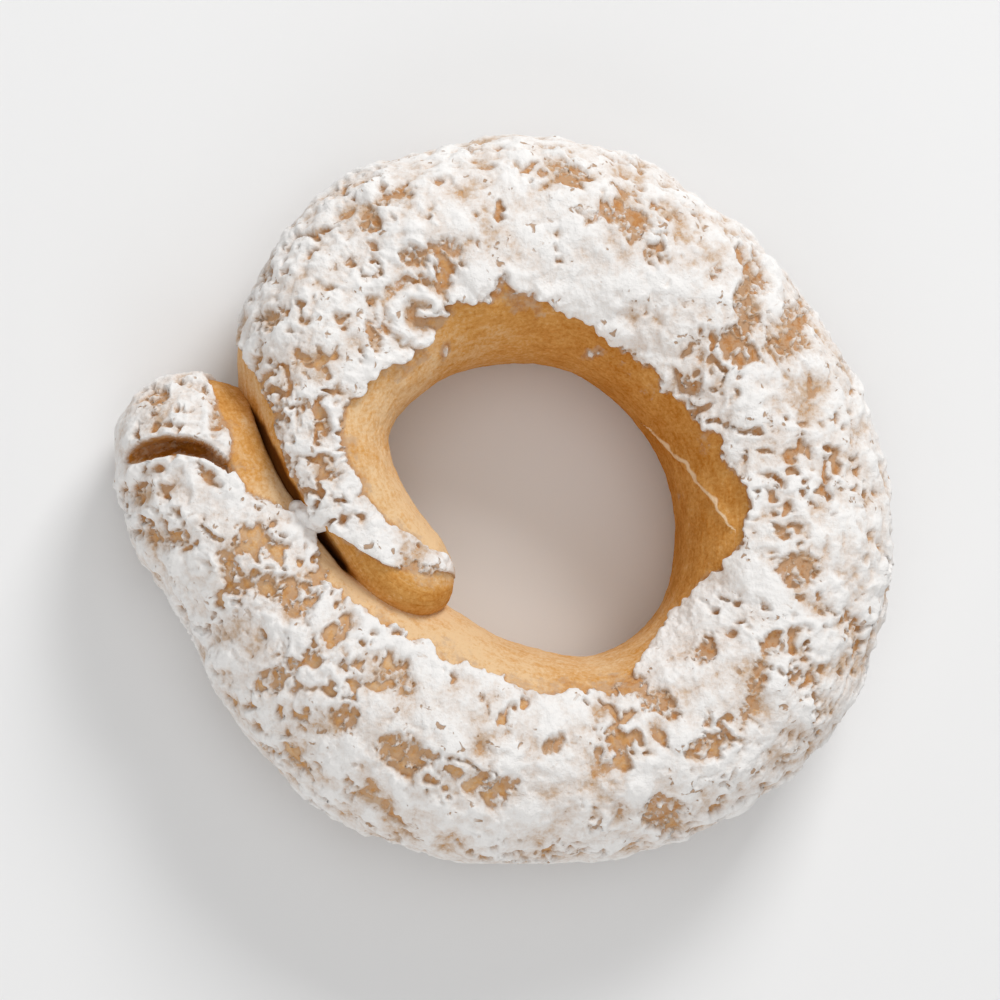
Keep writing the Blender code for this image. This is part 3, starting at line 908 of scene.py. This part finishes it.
crust.data.materials.append(crust_material())
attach(crust, "root")
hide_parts("tarallo")


# The glaze
# Sugar boiled to a thick syrup, in which the baked rings are tossed until it dries white. It lies in soft
# lumps over the top and the outer side, is pitted down to the crust, and stops short of the hole's wall.

STRETCHES = 4
STRETCH_RINGS = 398
GLAZE_ANGLES = section_angles(((-75, 150, 212), (150, 285, 36)))
GLAZE_STEP = 0.1
GLAZE_SINK = 0.3
BOUNDS_MARGIN = 0.25


def glaze_rise(thickness):
    """How far the glaze stands over the crust: a small steep step at its edges, then its thickness.

    Where there is none it dips under the crust by the same kind of step, so that its edge is crisp.
    """
    over = thickness.clip(min=0) + GLAZE_STEP * (1 - np.exp(-thickness.clip(min=0) / 0.05))
    dip = GLAZE_SINK * (1 - np.exp(thickness.clip(max=0) / 0.08))
    return over - dip


def held_inside(points, margin):
    """Points near the solid's bounds or beyond them, eased back by 1 - e^(-x) so that none passes them."""
    middle = (cad_low + cad_high) * 500 - RING_MIDDLE
    reach = (cad_high - cad_low) * 500
    out = points - middle
    over = (np.abs(out) - (reach - margin)).clip(min=0)
    eased = margin * (1 - np.exp(-over / margin))
    return middle + np.sign(out) * (np.minimum(np.abs(out), reach - margin) + eased)


def glaze_material():
    """Dried sugar glaze: matt and grainy, and broken over the crust where it is thin."""
    material = bpy.data.materials.new("dried_sugar_glaze")
    material.use_nodes = True
    tree = material.node_tree
    shader = tree.nodes["Principled BSDF"]
    under = {"Browning_and_shade": 0.7, "Gap": 9.0}
    dough = add_node(tree, "ShaderNodeGroup", under, node_tree=BAKED_CRUST)
    sugar = {"Thickness": attribute(tree, "sugar")}
    glaze = add_node(tree, "ShaderNodeGroup", sugar, node_tree=DRIED_GLAZE)
    colour = blend(tree, glaze.outputs["Cover"], dough.outputs["Colour"], glaze.outputs["Colour"])
    tree.links.new(colour, shader.inputs["Base Color"])
    height = maths(tree, "MULTIPLY_ADD", glaze.outputs["Cover"], 0.2, glaze.outputs["Height"])
    relief = {"Height": height, "Strength": 0.8, "Distance": BUMP_DEPTH}
    bump = add_node(tree, "ShaderNodeBump", relief)
    tree.links.new(bump.outputs["Normal"], shader.inputs["Normal"])
    shader.inputs["Roughness"].default_value = 0.7
    shader.inputs["Specular IOR Level"].default_value = 0.3
    return material


GLAZE_MATERIAL = glaze_material()
baked, normals, thickness, *_ = skin_at(STRETCHES * STRETCH_RINGS + 1, GLAZE_ANGLES)
coat = held_inside(baked + glaze_rise(thickness)[..., None] * normals, BOUNDS_MARGIN)
coat[..., 2] = coat[..., 2].clip(min=0)
for number in range(STRETCHES):
    rows = slice(number * STRETCH_RINGS, (number + 1) * STRETCH_RINGS + 1)
    stretch = closed_skin(f"glaze_{number + 1}", coat[rows], {"sugar": thickness[rows]})
    stretch.data.materials.append(GLAZE_MATERIAL)
    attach(stretch, "root")
    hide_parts("tarallo")


# The glaze across the seam
# Where the two ends lie closest the same syrup ran from one to the other, and dried as a small uneven lump
# that hides the crevice under it.

BRIDGE_MIDDLE = (-19.7, -2.2, 15.2)
BRIDGE_RADII = (3.0, 1.4, 1.6)
BRIDGE_TILT = 0.3
BRIDGE_RINGS = 110
BRIDGE_SIDES = 160


def glaze_bridge():
    """An uneven oval blob, tilted up towards the thumb.

    Points on a ball are multiplied by three radii, then moved along the ball's directions by noise.
    """
    poles = np.linspace(0.02, math.pi - 0.02, BRIDGE_RINGS)[:, None]
    round_it = np.radians(np.arange(BRIDGE_SIDES) * -360 / BRIDGE_SIDES)
    across = [np.sin(poles) * np.cos(round_it), np.sin(poles) * np.sin(round_it)]
    way = np.stack([*across, np.cos(poles) + 0 * round_it], axis=-1)
    points = way * np.array(BRIDGE_RADII)
    points[..., 2] += BRIDGE_TILT * points[..., 0]
    points = points + np.array(BRIDGE_MIDDLE)
    relief = 0.35 * lumps(points, 1.9, 71) + 0.22 * lumps(points, 0.9, 72) + 0.08 * lumps(points, 0.45, 73)
    thickness = 0.65 + 0.4 * lumps(points, 1.4, 74)
    return closed_skin("glaze_bridge", points + relief[..., None] * way, {"sugar": thickness})


bridge = glaze_bridge()
bridge.data.materials.append(GLAZE_MATERIAL)
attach(bridge, "root")
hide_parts("tarallo")


# The tabletop, the lights and the camera
# A plain pale tabletop under soft studio light, which comes from beyond the ring as it does in the
# photograph, and a long lens that looks down on the ring's upper side.

TABLETOP_SIZE = 3.0
TABLETOP_DROP = 0.00005
TABLETOP_GREY = (0.84, 0.84, 0.84, 1)

bpy.ops.mesh.primitive_plane_add(size=TABLETOP_SIZE, location=(0, 0, -TABLETOP_DROP))
floor = bpy.context.object
floor.name = "tabletop"
floor_material = bpy.data.materials.new("pale_tabletop")
floor_material.use_nodes = True
floor_shader = floor_material.node_tree.nodes["Principled BSDF"]
floor_shader.inputs["Base Color"].default_value = TABLETOP_GREY
floor_shader.inputs["Roughness"].default_value = 0.9
floor.data.materials.append(floor_material)
floor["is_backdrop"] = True


def soft_light(name, place, size, watts):
    """A square area light at `place` in metres that faces the ring."""
    data = bpy.data.lights.new(name, "AREA")
    data.size = size
    data.energy = watts
    made = bpy.data.objects.new(name, data)
    bpy.context.scene.collection.objects.link(made)
    made.location = place
    direction = -made.location
    made.rotation_mode = "QUATERNION"
    made.rotation_quaternion = direction.to_track_quat("-Z", "Y")
    return made


soft_light("key", (0.22, 0.50, 0.42), 0.25, 2.7)
soft_light("overhead", (-0.05, 0.05, 0.8), 0.6, 1.0)
soft_light("fill", (-0.12, -0.50, 0.32), 0.6, 1.0)

world = bpy.data.worlds.new("studio")
world.use_nodes = True
world.node_tree.nodes["Background"].inputs["Color"].default_value = (1, 1, 1, 1)
world.node_tree.nodes["Background"].inputs["Strength"].default_value = 0.43
bpy.context.scene.world = world
bpy.context.scene.view_settings.view_transform = "Standard"

# The picture's width and the ring's place in it, in the photograph's pixels of 0.215 mm each.
MM_PER_PIXEL = 0.215
PICTURE_PIXELS_ACROSS = 416.67
RING_MIDDLE_PIXEL = 551
PICTURE_MIDDLE_PIXEL = 542
SENSOR_WIDTH = 36
CAMERA_DISTANCE = 0.5

aim_x = RING_MIDDLE[0] + (PICTURE_MIDDLE_PIXEL - RING_MIDDLE_PIXEL) * MM_PER_PIXEL
aim = Vector((aim_x, RING_MIDDLE[1], VIEW_HEIGHT)) / 1000
back = Vector((-VIEW_LEAN[0], -VIEW_LEAN[1], 1)).normalized()
camera_data = bpy.data.cameras.new("camera")
camera_data.sensor_width = SENSOR_WIDTH
camera_data.lens = SENSOR_WIDTH * CAMERA_DISTANCE / (PICTURE_PIXELS_ACROSS * MM_PER_PIXEL / 1000)
camera = bpy.data.objects.new("camera", camera_data)
bpy.context.scene.collection.objects.link(camera)
rightward = Vector((0, 1, 0)).cross(back).normalized()
facing = Matrix((rightward, back.cross(rightward), back)).transposed()
camera.matrix_world = Matrix.Translation(aim + back * CAMERA_DISTANCE) @ facing.to_4x4()
bpy.context.scene.camera = camera
